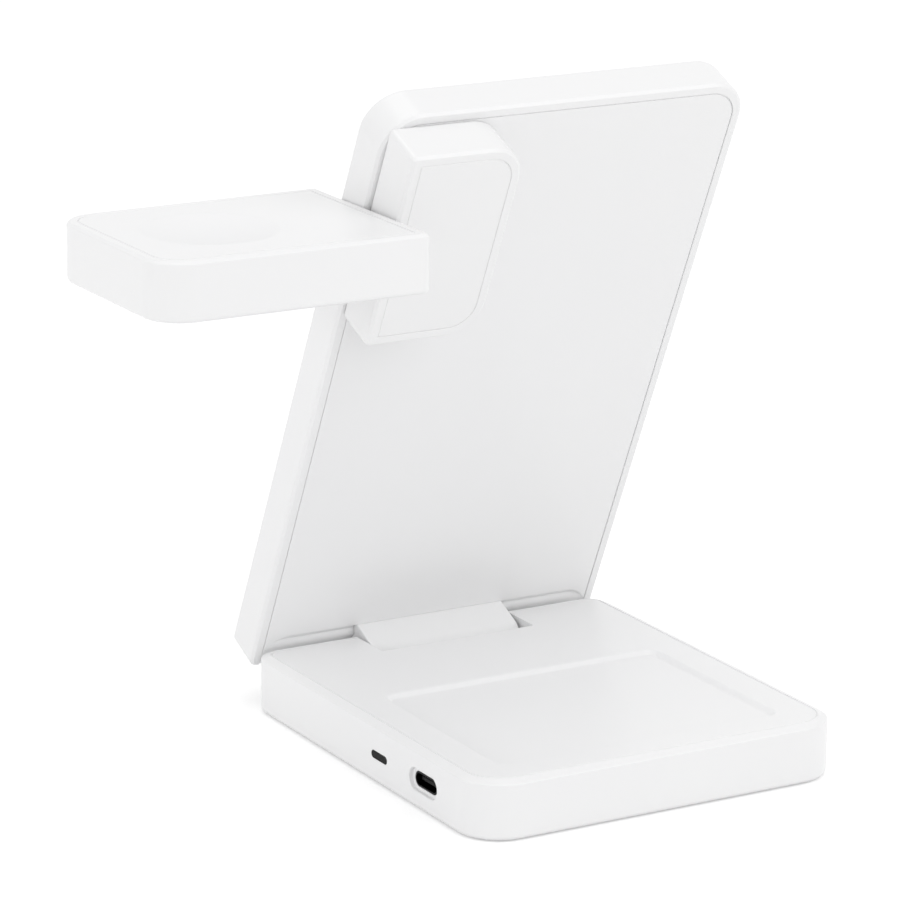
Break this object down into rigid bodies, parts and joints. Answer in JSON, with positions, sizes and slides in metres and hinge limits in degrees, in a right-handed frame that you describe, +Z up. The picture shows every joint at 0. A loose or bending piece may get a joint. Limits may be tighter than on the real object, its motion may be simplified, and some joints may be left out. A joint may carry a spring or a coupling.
{
  "type": "three in one wireless charger",
  "caption": "Folding wireless charging stand: a flat base with an earbud tray, a leaning phone panel with a magnet ring, and a watch platform on a pivoting arm at its side.",
  "frame": {"origin": "centre of the base's footprint, on the surface that its pad stands on", "axes": "+Z up, +Y from the base's free front edge to the hinge and panel, -X towards the socket and the watch platform"},
  "size_m": [0.147, 0.1093, 0.1444],
  "materials": {
    "white_moulding": "satin white moulding",
    "grey_nylon": "moulded nylon",
    "pad_silicone": "matt silicone",
    "steel": "plain steel",
    "black_plastic": "black moulding",
    "light": "moulded lamp",
    "circuit_board": "solder mask",
    "coil_copper": "enamelled copper",
    "ferrite": "matt ferrite",
    "magnet": "nickel plate"
  },
  "bodies": {
    "base": {"base_shell": "white_moulding", "base_cover": "white_moulding", "base_screws": "steel", "base_pad": "pad_silicone", "usb_socket": "steel", "usb_tongue": "black_plastic", "status_lens": "black_plastic", "status_light": "light", "base_circuit_board": "circuit_board", "earbud_coil": "coil_copper", "earbud_ferrite": "ferrite", "hinge_pin": "steel", "hinge_spring_washers": "steel"},
    "panel": {"panel_shell": "white_moulding", "panel_cover": "white_moulding", "hinge_cover": "white_moulding", "hinge_leaf": "steel", "hinge_screws": "steel", "phone_coil": "coil_copper", "phone_ferrite": "ferrite", "phone_magnets": "magnet", "panel_circuit_board": "circuit_board", "bracket_shell": "white_moulding", "bracket_cover": "white_moulding", "bracket_screws": "steel", "pivot_bush": "grey_nylon"},
    "platform": {"platform_shell": "white_moulding", "platform_cover": "white_moulding", "pivot_shaft": "steel", "pivot_spring_washer": "steel", "pivot_clip": "steel", "watch_coil": "coil_copper", "watch_ferrite": "ferrite", "watch_magnet": "magnet", "platform_circuit_board": "circuit_board"}
  },
  "joints": [
    {"name": "panel_fold", "type": "hinge", "parent": "base", "child": "panel", "pos_m": [0, 0.04534, 0.007], "axis": [1, 0, 0], "range_deg": [0, 65.7]},
    {"name": "watch_pivot", "type": "hinge", "parent": "panel", "child": "platform", "pos_m": [-0.0424, -0.00244, 0.11513], "axis": [-1, 0, 0], "range_deg": [-24.3, 65.7]}
  ]
}
